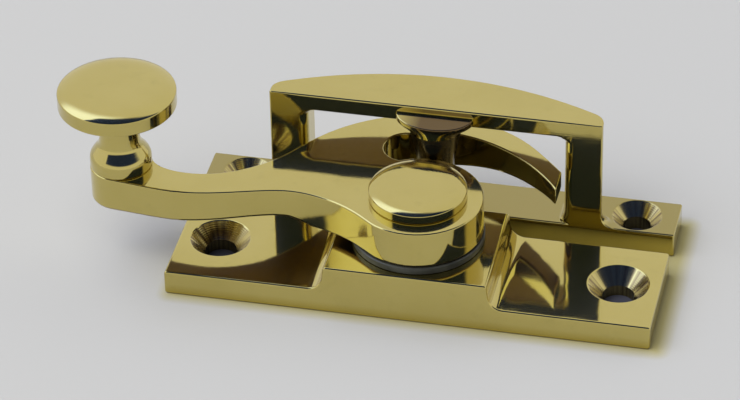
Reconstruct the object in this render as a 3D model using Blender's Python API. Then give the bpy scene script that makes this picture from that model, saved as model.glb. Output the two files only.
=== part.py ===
"""Quadrant-arm sash fastener: a pivoting arm on a base plate, and the keeper bridge that it hooks into.

Frame: metres, +Z up. The origin is on the base plate's underside, straight below the arm's pivot.
+X runs along both plates, away from the knob. +Y points from the fastener to the keeper.
The arm is modelled closed: its crescent is behind the keeper's peg.
"""

import math

import bmesh
import bpy
import numpy as np
from mathutils import Vector

MM = 0.001
GAP = 0.3 * MM                      # kept between pieces that touch

# Both plates share one length, one thickness and one hole spacing.
PLATE_LENGTH = 70.0 * MM
PLATE_THICK = 3.8 * MM
HOLE_SPACING = 58.0 * MM

# Fastener base. The pivot stands a little behind the middle of the plate.
BASE_FRONT = -10.3 * MM
BASE_WIDTH = 18.0 * MM
BASE_HOLE_Y = -0.8 * MM
BLOCK_TOP = 7.7 * MM
BLOCK_HALF = 11.7 * MM              # half length of the raised centre, at its top
BLOCK_DRAFT = 0.5 * MM              # how far the raised centre spreads down to its foot
FOOT_RADIUS = 2.2 * MM
BASE_HOLE_HEAD = 4.4 * MM           # countersink radius, for a No. 8 screw
BASE_HOLE_SHANK = 2.3 * MM

# Keeper bar
BAR_WIDTH = 8.0 * MM
BAR_FRONT = 11.95 * MM              # pivot to the bar's front face
BAR_HOLE_HEAD = 3.65 * MM           # countersink radius, for a No. 6 screw
BAR_HOLE_SHANK = 1.95 * MM

# Keeper bridge
BRIDGE_TOP = 21.4 * MM
BRIDGE_UNDER = 18.8 * MM
BRIDGE_HALF = 24.3 * MM
BRIDGE_DEPTH = 8.4 * MM
BRIDGE_ARC = 52.0 * MM              # radius of the bridge's curved rear edge
BRIDGE_CORNER = 2.6 * MM
WINDOW_HALF = 18.8 * MM
LEG_ROUND = 1.25 * MM               # rounding of each leg's inner front edge
FOOT_OUTER = 2.0 * MM
FOOT_INNER = 1.0 * MM

# Lobe under the bridge, and the peg that hangs from it
PEG_Y = 12.75 * MM
PEG_TOP_RADIUS = 3.9 * MM
PEG_SHOULDER = 17.9 * MM
PEG_BOTTOM = 9.0 * MM
PEG_END_RADIUS = 2.4 * MM
PEG_SPIGOT = 1.8 * MM
PEG_SOCKET = 19.85 * MM             # top of the hole that holds the peg's spigot
LOBE_Y = 12.0 * MM                  # middle of the lobe's oval rim
LOBE_HALF = 5.6 * MM                # half width of the rim
LOBE_REACH = 3.2 * MM               # from the rim's middle to its front
LOBE_RIM = 19.3 * MM                # underside of the rim
LOBE_TOP = 19.95 * MM               # top of the rim, at its front
LOBE_SLOPE = 0.2                    # how much the lobe's top rises towards the bridge

# Arm: one flat top; the underside rises under the lever and under the crescent
ARM_TOP = 14.55 * MM
ARM_UNDER = 8.75 * MM
HUB_RADIUS = 9.35 * MM
HUB_BORE = 4.5 * MM
HUB_POCKET = 6.0 * MM
POCKET_FLOOR = 10.75 * MM
SLOT_CENTRE = (-3.95 * MM, 11.55 * MM)
SLOT_RADIUS = 3.4 * MM
CRESCENT_OUT = 20.4 * MM
CRESCENT_IN = 16.2 * MM
CRESCENT_FLARE = 3.3 * MM           # how much the inner edge opens from slot to tip
TIP_SWELL = 0.8 * MM
KNOB_X = -43.4 * MM
LEVER_END = 4.5 * MM

# Pivot
POST_RADIUS = 3.0 * MM
POST_SPIGOT = 2.4 * MM
POST_THREAD = 2.0 * MM
POST_FLOOR = 1.5 * MM
WASHER_RADIUS = 9.5 * MM
CAP_RADIUS = 7.0 * MM
CAP_RIM = 15.95 * MM
CAP_CROWN = 0.5 * MM
NUT_FLATS = 7.0 * MM

# Screw that holds the knob
SCREW_RADIUS = 1.5 * MM
SCREW_HEAD = 2.9 * MM
SCREW_HEAD_LOW = 9.15 * MM          # floor of the countersink in the lever's underside
SCREW_TOP = 19.6 * MM

ROUND_STEPS = 40                    # sides of a turned piece
FINE_STEPS = 48                     # sides of the hub's circle
ARC_STEPS = 6                       # sides of a quarter-round fillet


# ---------------------------------------------------------------- outlines

def arc(centre, radius, start, end, steps):
    """Points from angle start to angle end, in degrees, about a centre."""
    points = []
    for k in range(steps + 1):
        angle = math.radians(start + (end - start) * k / steps)
        points.append((centre[0] + radius * math.cos(angle), centre[1] + radius * math.sin(angle)))
    return points


def smooth_curve(points, start_angle, end_angle, steps):
    """A cubic spline through the points, with its two end directions given in degrees."""
    knots = np.array(points)
    spans = np.linalg.norm(np.diff(knots, axis=0), axis=1)
    count = len(knots)
    matrix = np.zeros((count, count))
    right = np.zeros((count, 2))
    matrix[0, 0] = matrix[-1, -1] = 1.0
    right[0] = math.cos(math.radians(start_angle)), math.sin(math.radians(start_angle))
    right[-1] = math.cos(math.radians(end_angle)), math.sin(math.radians(end_angle))
    for i in range(1, count - 1):
        before, after = spans[i - 1], spans[i]
        matrix[i, i - 1:i + 2] = after, 2 * (before + after), before
        slope_before = (knots[i] - knots[i - 1]) / before
        slope_after = (knots[i + 1] - knots[i]) / after
        right[i] = 3 * (after * slope_before + before * slope_after)
    tangents = np.linalg.solve(matrix, right)
    curve = []
    for i, span in enumerate(spans):
        for k in range(steps):
            t = k / steps
            curve.append(tuple(
                (1 + 2 * t) * (1 - t) ** 2 * knots[i]
                + t * (1 - t) ** 2 * span * tangents[i]
                + t * t * (3 - 2 * t) * knots[i + 1]
                - t * t * (1 - t) * span * tangents[i + 1]))
    curve.append(tuple(knots[-1]))
    return curve


def join_runs(*runs):
    """One closed outline from runs of points; a point that repeats the last one is dropped."""
    outline = []
    for point in [p for run in runs for p in run]:
        if not outline or math.dist(point, outline[-1]) > 0.02 * MM:
            outline.append(point)
    if math.dist(outline[0], outline[-1]) < 0.02 * MM:
        outline.pop()
    return outline


def lever_front():
    """The lever's front edge, from the knob's end to the hub."""
    points = [(-43.9, -4.46), (-40.5, -4.9), (-34.7, -5.5), (-27.6, -4.5), (-22.0, -2.95),
              (-18.0, -2.3), (-13.5, -3.0), (-9.5, -4.65), (-6.4, -6.8), (-4.39, -8.256)]
    return smooth_curve([(x * MM, y * MM) for x, y in points], -8, -28, 4)


def lever_rear():
    """The wing's and the lever's rear edge, from the crescent's root to the knob's end."""
    points = [(-19.1, 9.05), (-21.4, 5.8), (-25.0, 2.45), (-30.2, -0.1), (-33.5, -0.5),
              (-36.8, 0.0), (-38.5, 0.95), (-39.543, 2.318)]
    return smooth_curve([(x * MM, y * MM) for x, y in points], -122, 121, 4)


def crescent_inner(steps):
    """The crescent's inner edge: a spiral that opens towards the tip and draws the peg in."""
    points = []
    for k in range(steps + 1):
        share = k / steps
        radius = CRESCENT_IN + CRESCENT_FLARE * share ** 3
        angle = math.radians(100 - 85 * share)
        points.append((radius * math.cos(angle), radius * math.sin(angle)))
    return points


def crescent_outer(steps):
    """The crescent's outer edge, from the tip round to the wing, swelling a little at both ends."""
    points = []
    for k in range(steps + 1):
        degrees = 27 + (154.6 - 27) * k / steps
        tip = max(0.0, (45 - degrees) / 18)
        wing = max(0.0, (degrees - 115) / 40)
        radius = CRESCENT_OUT + TIP_SWELL * (tip ** 2 + 0.8 * wing ** 2)
        angle = math.radians(degrees)
        points.append((radius * math.cos(angle), radius * math.sin(angle)))
    return points


def arm_outline():
    """The arm seen from above, anticlockwise, starting where the lever meets the hub."""
    hub = arc((0, 0), HUB_RADIUS, -118, 112, FINE_STEPS * 2 // 3)
    slot_end = arc(SLOT_CENTRE, SLOT_RADIUS, 262, 92, 12)
    knob_end = arc((KNOB_X, 0), LEVER_END, 31, 262, 20)
    return join_runs(hub, slot_end, crescent_inner(20), crescent_outer(28),
                     lever_rear(), knob_end, lever_front())


def bridge_outline():
    """The bridge seen from above: a straight front, a curved rear and rounded rear corners."""
    centre_y = BRIDGE_DEPTH - BRIDGE_ARC
    corner_x = BRIDGE_HALF - BRIDGE_CORNER
    corner_y = centre_y + math.sqrt((BRIDGE_ARC - BRIDGE_CORNER) ** 2 - corner_x ** 2)
    turn = math.degrees(math.atan2(corner_y - centre_y, corner_x))
    right = arc((corner_x, corner_y), BRIDGE_CORNER, 0, turn, ARC_STEPS)
    rear = arc((0, centre_y), BRIDGE_ARC, turn, 180 - turn, 24)
    left = [(-x, y) for x, y in reversed(right)]
    return join_runs([(-BRIDGE_HALF, 0), (BRIDGE_HALF, 0)], right, rear, left)


def leg_outline():
    """The right leg seen from above: the bridge's outline, outside the window."""
    rear_y = BRIDGE_DEPTH - BRIDGE_ARC + math.sqrt(BRIDGE_ARC ** 2 - WINDOW_HALF ** 2)
    rear = [p for p in bridge_outline() if p[0] > WINDOW_HALF + 0.5 * MM and p[1] > 0]
    corner = arc((WINDOW_HALF + LEG_ROUND, LEG_ROUND), LEG_ROUND, 180, 270, 4)
    return join_runs(corner, [(BRIDGE_HALF, 0)], rear, [(WINDOW_HALF, rear_y)])


# ---------------------------------------------------------------- solids

def new_object(name, bm, parent=None):
    """An object from a bmesh, with its faces pointing out and its round faces smooth."""
    bmesh.ops.recalc_face_normals(bm, faces=bm.faces)
    mesh = bpy.data.meshes.new(name)
    bm.to_mesh(mesh)
    bm.free()
    mesh.shade_smooth()
    mesh.set_sharp_from_angle(angle=math.radians(35))
    obj = bpy.data.objects.new(name, mesh)
    bpy.context.scene.collection.objects.link(obj)
    obj.parent = parent
    return obj


def extruded(name, outline, low, high, plane="XY", parent=None):
    """An outline drawn in a plane and extruded square to it, from low to high."""
    bm = bmesh.new()
    place = {"XY": lambda a, b: (a, b, low), "XZ": lambda a, b: (a, low, b)}[plane]
    direction = {"XY": Vector((0, 0, high - low)), "XZ": Vector((0, high - low, 0))}[plane]
    face = bm.faces.new([bm.verts.new(place(a, b)) for a, b in outline])
    made = bmesh.ops.extrude_face_region(bm, geom=[face])
    moved = [g for g in made["geom"] if isinstance(g, bmesh.types.BMVert)]
    bmesh.ops.translate(bm, verts=moved, vec=direction)
    return new_object(name, bm, parent)


def turned(name, profile, centre=(0, 0), steps=ROUND_STEPS, parent=None):
    """A turned piece. The profile is (radius, height) points; one that leaves the axis is a ring."""
    bm = bmesh.new()
    rings = []
    for radius, height in profile:
        count = steps if radius > 0 else 1
        ring = []
        for k in range(count):
            angle = 2 * math.pi * k / steps
            x = centre[0] + radius * math.cos(angle)
            y = centre[1] + radius * math.sin(angle)
            ring.append(bm.verts.new((x, y, height)))
        rings.append(ring)
    pairs = list(zip(rings, rings[1:]))
    if profile[0][0] > 0:
        pairs.append((rings[-1], rings[0]))
    for lower, upper in pairs:
        for k in range(steps):
            corners = [lower[k % len(lower)], lower[(k + 1) % len(lower)],
                       upper[(k + 1) % len(upper)], upper[k % len(upper)]]
            bm.faces.new(list(dict.fromkeys(corners)))
    return new_object(name, bm, parent)


def ring(name, inner, outer, low, high, centre=(0, 0), parent=None):
    """A flat washer or a plain bush."""
    profile = [(outer, low), (outer, high), (inner, high), (inner, low)]
    return turned(name, profile, centre=centre, parent=parent)


def use_as_cutter(obj):
    obj.hide_render = True
    obj.display_type = "WIRE"
    return obj


def combine(target, tool, operation):
    """A Boolean of target and tool. The tool stays in the file as a guide."""
    modifier = target.modifiers.new(tool.name, "BOOLEAN")
    modifier.operation = operation
    modifier.solver = "EXACT"
    modifier.object = use_as_cutter(tool)


def screw_hole(target, name, x, y, head, shank, top):
    """A countersunk screw hole through a plate, from its top face down."""
    slope = head - shank
    profile = [(0, top + MM), (head + MM * 0.2, top + MM), (head + MM * 0.2, top + GAP), (head, top),
               (shank, top - slope), (shank, -MM), (0, -MM)]
    combine(target, turned(name, profile, centre=(x, y), steps=32), "DIFFERENCE")


# ---------------------------------------------------------------- fastener half

def fastener_base():
    foot_x = BLOCK_HALF + BLOCK_DRAFT + FOOT_RADIUS
    half_profile = [(PLATE_LENGTH / 2, 0), (PLATE_LENGTH / 2, PLATE_THICK)]
    half_profile += arc((foot_x, PLATE_THICK + FOOT_RADIUS), FOOT_RADIUS, 270, 180, ARC_STEPS)
    half_profile += [(BLOCK_HALF, BLOCK_TOP)]
    profile = half_profile + [(-x, z) for x, z in reversed(half_profile)]
    base = extruded("fastener_base", profile, BASE_FRONT, BASE_FRONT + BASE_WIDTH, plane="XZ")
    for side in (-1, 1):
        screw_hole(base, f"cut_base_hole_{side}", side * HOLE_SPACING / 2, BASE_HOLE_Y,
                   BASE_HOLE_HEAD, BASE_HOLE_SHANK, PLATE_THICK)
    socket = [(0, BLOCK_TOP + MM), (POST_SPIGOT + GAP, BLOCK_TOP + MM),
              (POST_SPIGOT + GAP, POST_FLOOR), (0, POST_FLOOR)]
    combine(base, turned("cut_post_socket", socket), "DIFFERENCE")
    return base


def pivot_post():
    shoulder = BLOCK_TOP + GAP
    profile = [(0, POST_FLOOR + GAP), (POST_SPIGOT, POST_FLOOR + GAP), (POST_SPIGOT, shoulder),
               (POST_RADIUS, shoulder), (POST_RADIUS, POCKET_FLOOR), (POST_THREAD, POCKET_FLOOR),
               (POST_THREAD, ARM_TOP + 0.3 * MM), (POST_THREAD - 0.3 * MM, ARM_TOP + 0.6 * MM),
               (0, ARM_TOP + 0.6 * MM)]
    return turned("pivot_post", profile)


def pivot_washers():
    """The washers and the nut that hold the arm down on the base."""
    hole = POST_THREAD + GAP
    friction = ring("friction_washer", POST_RADIUS + GAP, WASHER_RADIUS,
                    BLOCK_TOP + GAP, ARM_UNDER - GAP)
    spring_low = POCKET_FLOOR + GAP
    thick, dish = 0.35 * MM, 0.25 * MM
    spring = turned("spring_washer", [
        (5.4 * MM, spring_low), (5.4 * MM, spring_low + thick),
        (hole, spring_low + thick + dish), (hole, spring_low + dish)])
    clamp_low = spring_low + thick + dish + GAP
    clamp = ring("clamp_washer", hole, 4.8 * MM, clamp_low, clamp_low + 0.4 * MM)
    nut_low = clamp_low + 0.4 * MM + GAP
    corner = NUT_FLATS / math.sqrt(3)
    nut = extruded("retaining_nut", arc((0, 0), corner, 0, 300, 5), nut_low, nut_low + 2.2 * MM)
    bore = [(0, nut_low + 3 * MM), (hole, nut_low + 3 * MM), (hole, nut_low - MM), (0, nut_low - MM)]
    combine(nut, turned("cut_nut_bore", bore), "DIFFERENCE")
    return [friction, spring, clamp, nut]


# ---------------------------------------------------------------- moving arm

def underside_cutter(name, heights, low_y, high_y, parent):
    """A block below the arm whose top follows (x, height) points, from low_y to high_y."""
    floor = ARM_UNDER - 2 * MM
    profile = [(x * MM, z * MM) for x, z in heights]
    profile += [(heights[-1][0] * MM, floor), (heights[0][0] * MM, floor)]
    return extruded(name, profile, low_y, high_y, plane="XZ", parent=parent)


def quadrant_arm(axis):
    arm = extruded("quadrant_arm", arm_outline(), ARM_UNDER, ARM_TOP, parent=axis)
    lever = [(-50, 9.05), (-33, 9.35), (-24, 9.85), (-20.5, 9.95), (-18.5, 9.85), (-17, 9.45),
             (-15.5, 8.9), (-14.5, 8.6)]
    combine(arm, underside_cutter("cut_under_lever", lever, -12 * MM, 26 * MM, axis), "DIFFERENCE")
    crescent = [(1.5, 8.6), (9, 10.05), (15, 10.85), (23, 12.35)]
    combine(arm, underside_cutter("cut_under_crescent", crescent, 9.7 * MM, 26 * MM, axis), "DIFFERENCE")
    tip = [(11, 10.32), (15, 10.85), (23, 12.35)]
    combine(arm, underside_cutter("cut_under_tip", tip, 2 * MM, 10 * MM, axis), "DIFFERENCE")
    pocket = [(0, ARM_TOP + MM), (HUB_POCKET, ARM_TOP + MM), (HUB_POCKET, POCKET_FLOOR),
              (HUB_BORE, POCKET_FLOOR), (HUB_BORE, ARM_UNDER - MM), (0, ARM_UNDER - MM)]
    combine(arm, turned("cut_hub_bore", pocket, parent=axis), "DIFFERENCE")
    hole = SCREW_RADIUS + GAP
    head = SCREW_HEAD + GAP
    low = SCREW_HEAD_LOW
    shaft = [(0, ARM_TOP + MM), (hole, ARM_TOP + MM), (hole, low + head - hole), (head, low),
             (head, low - 2 * MM), (0, low - 2 * MM)]
    combine(arm, turned("cut_knob_hole", shaft, centre=(KNOB_X, 0), parent=axis), "DIFFERENCE")
    return arm


def arm_bush(axis):
    return ring("arm_bush", POST_RADIUS + GAP, HUB_BORE - GAP, ARM_UNDER, POCKET_FLOOR, parent=axis)


def pivot_cap(axis):
    """Domed cap with a skirt that presses into the hub's pocket."""
    skirt = HUB_POCKET - GAP
    skirt_wall = 0.6 * MM
    seat = ARM_TOP + GAP
    roof = seat + 0.6 * MM
    edge = 0.5 * MM
    profile = [(0, CAP_RIM + CAP_CROWN), (CAP_RADIUS * 0.6, CAP_RIM + CAP_CROWN * 0.9),
               (CAP_RADIUS - edge * 2, CAP_RIM + CAP_CROWN * 0.55), (CAP_RADIUS - edge * 0.4, CAP_RIM),
               (CAP_RADIUS, CAP_RIM - edge * 0.4), (CAP_RADIUS, seat),
               (skirt, seat), (skirt, seat - 1.6 * MM), (skirt - skirt_wall, seat - 1.6 * MM),
               (skirt - skirt_wall, roof), (0, roof)]
    return turned("pivot_cap", profile, parent=axis)


def knob(axis):
    """Turned knob: slightly domed disc, waisted neck and a collar that stands on the lever."""
    seat = ARM_TOP + GAP
    disc = [(0, 27.8), (5.0, 27.74), (6.6, 27.6), (7.7, 27.35), (8.3, 27.1), (8.5, 26.9), (8.5, 25.05),
            (8.25, 24.8), (5.6, 24.3)]
    neck = [(4.0, 23.6), (3.2, 22.7), (2.8, 21.6), (2.8, 20.4), (3.0, 19.5), (3.45, 18.6), (4.0, 17.8)]
    collar = [(4.4, 17.0), (4.4, 15.4)]
    outside = [(radius * MM, height * MM) for radius, height in disc + neck + collar]
    hole = SCREW_RADIUS + GAP
    inside = [(4.2 * MM, seat), (hole, seat), (hole, SCREW_TOP + 0.6 * MM), (0, SCREW_TOP + 1.2 * MM)]
    return turned("knob", outside + inside, centre=(KNOB_X, 0), parent=axis)


def knob_screw(axis):
    low = SCREW_HEAD_LOW + GAP
    profile = [(0, low), (SCREW_HEAD, low), (SCREW_RADIUS, low + SCREW_HEAD - SCREW_RADIUS),
               (SCREW_RADIUS, SCREW_TOP - 0.5 * MM), (SCREW_RADIUS - 0.4 * MM, SCREW_TOP), (0, SCREW_TOP)]
    return turned("knob_screw", profile, centre=(KNOB_X, 0), steps=24, parent=axis)


# ---------------------------------------------------------------- keeper half

def lofted(name, sections):
    """A closed solid through sections: lists of as many points each, from the lowest up."""
    bm = bmesh.new()
    rings = [[bm.verts.new(point) for point in section] for section in sections]
    count = len(rings[0])
    for lower, upper in zip(rings, rings[1:]):
        for k in range(count):
            following = (k + 1) % count
            bm.faces.new([lower[k], lower[following], upper[following], upper[k]])
    bm.faces.new(rings[0])
    bm.faces.new(rings[-1])
    return new_object(name, bm)


def leg_solid(side):
    """One leg, with a foot that spreads into the bar and a small fillet under the bridge."""
    outline = leg_outline()
    centre_x = (WINDOW_HALF + BRIDGE_HALF) / 2
    sink = 0.6 * MM
    turns = [math.radians(90 * k / ARC_STEPS) for k in range(ARC_STEPS + 1)]
    fillet = [(1 - math.cos(turn), 1 - math.sin(turn)) for turn in turns]
    levels = [(PLATE_THICK - sink, 1, 1)]
    levels += [(PLATE_THICK + rise * FOOT_OUTER, spread, spread) for rise, spread in fillet]
    levels += [(BRIDGE_UNDER - rise * FOOT_INNER, spread, 0) for rise, spread in reversed(fillet)]
    levels += [(BRIDGE_UNDER + sink, 1, 0)]
    sections = []
    for height, inner, outer in levels:
        section = []
        for x, y in outline:
            spread = outer * FOOT_OUTER if x > centre_x else -inner * FOOT_INNER
            section.append((side * (x + spread), BAR_FRONT + y, height))
        sections.append(section)
    return lofted(f"guide_leg_{side}", sections)


def lobe_solid():
    """The lobe that carries the peg: a sloping oval in front of the bridge, drawn in to the peg's head."""
    levels = [(PEG_SHOULDER, 0.0, 0.0), (18.5 * MM, 0.35, 0.0), (18.95 * MM, 0.75, 0.0),
              (LOBE_RIM, 1.0, 0.0), (LOBE_TOP, 1.0, LOBE_SLOPE)]
    sections = []
    for height, share, slope in levels:
        half_width = PEG_TOP_RADIUS + share * (LOBE_HALF - PEG_TOP_RADIUS)
        half_depth = PEG_TOP_RADIUS + share * (LOBE_REACH - PEG_TOP_RADIUS)
        middle = PEG_Y + share * (LOBE_Y - PEG_Y)
        circle = arc((0, 0), 1.0, 0, 360 - 360 / ROUND_STEPS, ROUND_STEPS - 1)
        sections.append([(half_width * x, middle + half_depth * y, height + slope * half_depth * (y + 1))
                         for x, y in circle])
    return lofted("guide_lobe", sections)


def keeper_frame():
    half = PLATE_LENGTH / 2
    outline = [(-half, 0), (half, 0), (half, PLATE_THICK), (-half, PLATE_THICK)]
    frame = extruded("keeper_frame", outline, BAR_FRONT, BAR_FRONT + BAR_WIDTH, plane="XZ")
    bridge = [(x, BAR_FRONT + y) for x, y in bridge_outline()]
    combine(frame, extruded("guide_bridge", bridge, BRIDGE_UNDER, BRIDGE_TOP), "UNION")
    for side in (-1, 1):
        combine(frame, leg_solid(side), "UNION")
    combine(frame, lobe_solid(), "UNION")
    for side in (-1, 1):
        screw_hole(frame, f"cut_bar_hole_{side}", side * HOLE_SPACING / 2, BAR_FRONT + BAR_WIDTH / 2,
                   BAR_HOLE_HEAD, BAR_HOLE_SHANK, PLATE_THICK)
    socket = [(0, PEG_SOCKET), (PEG_SPIGOT + GAP, PEG_SOCKET), (PEG_SPIGOT + GAP, PEG_SHOULDER - MM),
              (0, PEG_SHOULDER - MM)]
    combine(frame, turned("cut_peg_socket", socket, centre=(0, PEG_Y), steps=24), "DIFFERENCE")
    return frame


def keeper_peg():
    shoulder = PEG_SHOULDER - GAP
    profile = [(0, PEG_SOCKET - GAP), (PEG_SPIGOT, PEG_SOCKET - GAP), (PEG_SPIGOT, shoulder),
               (PEG_TOP_RADIUS, shoulder), (3.6 * MM, 16.95 * MM), (3.3 * MM, 15.6 * MM),
               (3.0 * MM, 13.9 * MM), (2.75 * MM, 12.1 * MM), (PEG_END_RADIUS, PEG_BOTTOM + 0.3 * MM),
               (PEG_END_RADIUS - 0.4 * MM, PEG_BOTTOM), (0, PEG_BOTTOM)]
    return turned("keeper_peg", profile, centre=(0, PEG_Y))


# ---------------------------------------------------------------- materials and assembly

def finish_material(name, colour, metallic, roughness, objects):
    """One material for each object, made from a shared recipe."""
    for obj in objects:
        material = bpy.data.materials.new(f"{obj.name}_{name}")
        material.use_nodes = True
        shader = material.node_tree.nodes["Principled BSDF"]
        shader.inputs["Base Color"].default_value = (*colour, 1)
        shader.inputs["Metallic"].default_value = metallic
        shader.inputs["Roughness"].default_value = roughness
        obj.data.materials.append(material)


def build():
    for obj in list(bpy.data.objects):
        bpy.data.objects.remove(obj)
    axis = bpy.data.objects.new("arm_axis", None)
    bpy.context.scene.collection.objects.link(axis)
    base = fastener_base()
    friction, spring, clamp, nut = pivot_washers()
    brass = [base, quadrant_arm(axis), pivot_cap(axis), knob(axis), keeper_frame(), keeper_peg()]
    finish_material("brass", (0.76, 0.62, 0.25), 1.0, 0.08, brass)
    finish_material("steel", (0.60, 0.60, 0.58), 1.0, 0.30, [pivot_post(), spring, clamp, nut, knob_screw(axis)])
    finish_material("bronze", (0.55, 0.38, 0.18), 1.0, 0.35, [arm_bush(axis)])
    finish_material("nylon", (0.06, 0.065, 0.05), 0.0, 0.45, [friction])


build()
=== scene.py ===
"""The looks of the quadrant-arm sash fastener: polished brass on a pale studio floor.

Every piece that shows is a finer mesh built over its CAD node. The arm starts from the node's own
shape and gets softened edges. The base and the keeper are drawn again with round edges, and the
turned pieces are spun again with round shoulders. The pieces inside the hub and the knob's screw
keep their CAD shape.
"""

import math

import bmesh
import bpy
from mathutils import Matrix, Vector


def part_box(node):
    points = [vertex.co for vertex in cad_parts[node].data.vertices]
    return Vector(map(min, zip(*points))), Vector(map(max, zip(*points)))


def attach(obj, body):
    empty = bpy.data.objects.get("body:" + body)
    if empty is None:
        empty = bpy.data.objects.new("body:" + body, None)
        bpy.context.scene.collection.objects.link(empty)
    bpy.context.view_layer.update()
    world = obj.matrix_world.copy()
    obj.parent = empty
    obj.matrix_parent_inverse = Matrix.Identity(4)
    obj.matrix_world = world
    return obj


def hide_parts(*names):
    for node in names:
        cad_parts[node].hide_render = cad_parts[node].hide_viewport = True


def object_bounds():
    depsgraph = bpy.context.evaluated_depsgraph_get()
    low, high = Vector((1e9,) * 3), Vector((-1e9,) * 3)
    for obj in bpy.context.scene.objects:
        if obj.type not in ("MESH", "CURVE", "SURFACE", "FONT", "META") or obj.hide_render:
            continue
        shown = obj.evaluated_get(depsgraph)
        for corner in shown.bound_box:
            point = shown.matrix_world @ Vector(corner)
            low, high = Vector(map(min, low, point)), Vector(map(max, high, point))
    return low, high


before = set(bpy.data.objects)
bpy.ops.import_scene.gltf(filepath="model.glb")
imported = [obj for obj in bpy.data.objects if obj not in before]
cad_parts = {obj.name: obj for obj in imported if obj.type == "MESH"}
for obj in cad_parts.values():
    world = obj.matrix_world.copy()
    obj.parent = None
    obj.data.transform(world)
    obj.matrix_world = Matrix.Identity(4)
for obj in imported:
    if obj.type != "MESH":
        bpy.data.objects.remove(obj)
cad_low, cad_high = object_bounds()

MM = 0.001

# Boxes of the CAD nodes
BASE_LOW, BASE_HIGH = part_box("fastener_base")
ARM_LOW, ARM_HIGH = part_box("quadrant_arm")
CAP_LOW, CAP_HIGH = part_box("pivot_cap")
KNOB_LOW, KNOB_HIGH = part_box("knob")
PEG_LOW, PEG_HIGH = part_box("keeper_peg")
WASHER_LOW, WASHER_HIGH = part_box("friction_washer")
KEEPER_LOW, KEEPER_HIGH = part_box("keeper_frame")

# Shared by the pieces
PLATE_THICK = 3.8 * MM
HOLE_SPACING = 58.0 * MM
HOLE_CHAMFER = 0.14 * MM
EDGE = 0.28 * MM                         # radius of an edge softened by polishing
LEAST_EDGE = 0.03 * MM                   # radius of an edge that is left sharp
SUPPORT = 0.06 * MM                      # strip beside a round edge that keeps the next face flat
FLUSH = 0.01 * MM                        # keeps two faces from lying in one plane
TURNED_STEPS = 160
EDGE_STEPS = 5                           # sides of a small round edge
NODE_WELD = 0.001 * MM                   # vertices of a CAD node closer than this are one
CUT_WELD = 0.002 * MM                    # vertices of a cut piece closer than this are one
FLAT_ANGLE = math.radians(0.7)           # faces closer than this are one flat face
SHARP_ANGLE = math.radians(38)
FLAT_WEIGHT = 90                         # how strongly the larger face decides a shared normal

# The base, drawn from its box
CORNER = 0.45 * MM                       # radius of the long corners
BLOCK_HALF = 11.7 * MM
BLOCK_DRAFT = 0.5 * MM
FOOT_RADIUS = 2.2 * MM
FOOT_STEPS = 14
BASE_HOLE_Y = -0.8 * MM
BASE_HOLE_HEAD = 4.4 * MM
BASE_HOLE_SHANK = 2.3 * MM
POST_SOCKET = 2.7 * MM
POST_FLOOR = 1.5 * MM

# The arm: a thin edge at the top, a rounder one underneath
ARM_WIDEST_EDGE = 1.0 * MM
ARM_TOP_EDGE = 0.25 * MM
ARM_LOW_EDGE = 0.55 * MM
ARM_TOP_ZONE = 1.5 * MM

# The keeper, drawn from its front face and its top
BAR_WIDTH = 8.0 * MM
BAR_HOLE_HEAD = 3.65 * MM
BAR_HOLE_SHANK = 1.95 * MM
BRIDGE_DEPTH = 8.4 * MM
BRIDGE_ARC = 52.0 * MM
BRIDGE_CORNER = 2.6 * MM
BRIDGE_HALF = 24.3 * MM
BRIDGE_TOP = KEEPER_HIGH.z
BRIDGE_UNDER = BRIDGE_TOP - 2.6 * MM
BRIDGE_STEPS = 24
KEEPER_FRONT = KEEPER_HIGH.y - BRIDGE_DEPTH
BAR_REAR = KEEPER_FRONT + BAR_WIDTH
BAR_HOLE_Y = KEEPER_FRONT + BAR_WIDTH / 2
WINDOW_HALF = 18.8 * MM
LEG_ROUND = 1.25 * MM
LEG_ROUND_STEPS = 6
LEG_STEPS = 8
TURN_STEPS = 10                          # steps of a quarter turn on the way along the arch
SLICE_STEPS = 18                         # steps across the arch's rear face
FOOT_OUTER = 2.0 * MM
FOOT_INNER = 1.0 * MM
FOOT_SINK = 0.6 * MM
PEG_Y = (PEG_LOW.y + PEG_HIGH.y) / 2
PEG_HEAD = 3.9 * MM
LOBE_Y = 12.0 * MM
LOBE_HALF = 5.6 * MM
LOBE_REACH = 3.2 * MM
LOBE_FOOT = 17.9 * MM
LOBE_RIM = 19.3 * MM
LOBE_TOP = 19.85 * MM
LOBE_SLOPE = 0.16
LOBE_EDGE = 0.18 * MM
LOBE_EDGE_STEPS = 4

WASHER_BAND = 5.0 * MM
WASHER_EDGE = 0.12 * MM


def middle(low, high):
    """The middle of a box, seen from above."""
    return (low.x + high.x) / 2, (low.y + high.y) / 2


def quarter_turn(steps):
    """The angles of a quarter turn, its ends included."""
    return [math.radians(90 * k / steps) for k in range(steps + 1)]


def direction(azimuth, elevation):
    """A direction from its azimuth, which turns from +X to +Y, and its elevation."""
    level = math.cos(elevation)
    return Vector((math.cos(azimuth) * level, math.sin(azimuth) * level, math.sin(elevation)))


# ---------------------------------------------------------------- meshes

def new_object(name, data):
    obj = bpy.data.objects.new(name, data)
    bpy.context.scene.collection.objects.link(obj)
    return obj


def object_from(bm, name):
    """An object with the mesh that is being edited, which is freed."""
    mesh = bpy.data.meshes.new(name)
    bm.to_mesh(mesh)
    bm.free()
    return new_object(name, mesh)


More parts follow.
